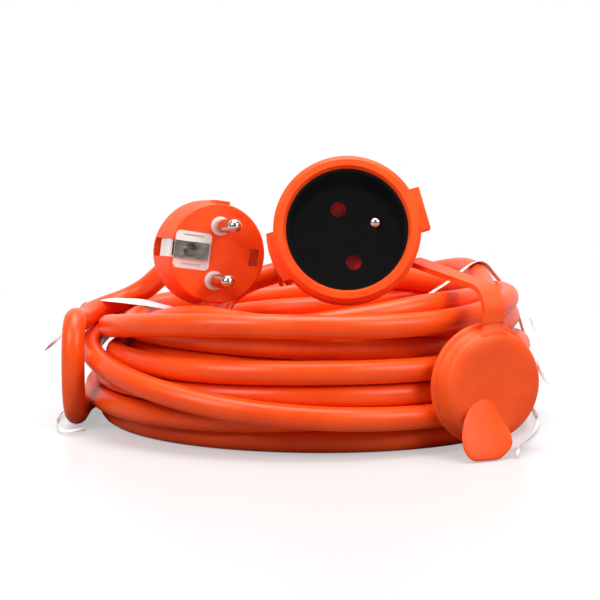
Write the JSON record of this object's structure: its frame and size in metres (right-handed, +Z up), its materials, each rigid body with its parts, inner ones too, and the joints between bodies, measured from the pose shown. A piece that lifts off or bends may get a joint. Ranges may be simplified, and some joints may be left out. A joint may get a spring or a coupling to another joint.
{
  "type": "wound extension cord",
  "caption": "Bundled mains extension lead with a round pinned plug, a shuttered round coupler with a stopper cap on a strap, ribbed strain reliefs and two ties.",
  "frame": {"origin": "on the floor under the middle of the box of the plug, coupler, strap and cap", "axes": "+Z up, +X to the right and -Y towards the side that the plug, coupler and cap face"},
  "size_m": [0.1624, 0.1623, 0.0951],
  "materials": {
    "cord_pvc": "soft glossy PVC sheath",
    "cover_pvc": "moulded soft PVC, satin",
    "black_insert": "polished black moulding",
    "black_carrier": "moulded",
    "red_shutter": "moulded red",
    "white_insert": "moulded, satin",
    "nickel": "bright nickel plate",
    "brass_contact": "stamped",
    "core_brown": "extruded",
    "core_blue": "extruded",
    "core_green_yellow": "extruded",
    "clear_tie": "pale clear film"
  },
  "bodies": {
    "lead": {"cord_coil": "cord_pvc", "coil_core": "cord_pvc", "cord_to_plug": "cord_pvc", "cord_to_coupler": "cord_pvc", "plug_body": "cover_pvc", "coupler_body": "cover_pvc", "plug_bend_relief": "cover_pvc", "coupler_bend_relief": "cover_pvc", "cap_strap": "cover_pvc", "coupler_insert": "black_insert", "coupler_carrier": "black_carrier", "plug_insert": "white_insert", "plug_line_pin": "nickel", "plug_neutral_pin": "nickel", "plug_earth_strip": "nickel", "plug_earth_tube": "nickel", "coupler_earth_pin": "nickel", "coupler_earth_link": "nickel", "plug_crimps": "nickel", "coupler_crimps": "nickel", "shutter_spring": "nickel", "line_sleeve": "brass_contact", "neutral_sleeve": "brass_contact", "plug_core_brown": "core_brown", "coupler_core_brown": "core_brown", "plug_core_blue": "core_blue", "coupler_core_blue": "core_blue", "plug_core_green_yellow": "core_green_yellow", "coupler_core_green_yellow": "core_green_yellow", "tie_left": "clear_tie", "tie_right": "clear_tie"},
    "shutter": {"coupler_shutter": "red_shutter"},
    "cap": {"coupler_cap": "cover_pvc"}
  },
  "joints": [
    {"name": "shutter_slide", "type": "slide", "parent": "lead", "child": "shutter", "axis": [-0.9613, -0.062, -0.2686], "range_m": [0, 0.0062], "stiffness_N_per_m": 300, "springref_m": -0.003, "deforming": ["shutter_spring"]},
    {"name": "cap_fold", "type": "hinge", "parent": "lead", "child": "cap", "pos_m": [0.0497, -0.0454, 0.0438], "axis": [-0.8829, -0.4695, 0], "range_deg": [0, 60]}
  ]
}
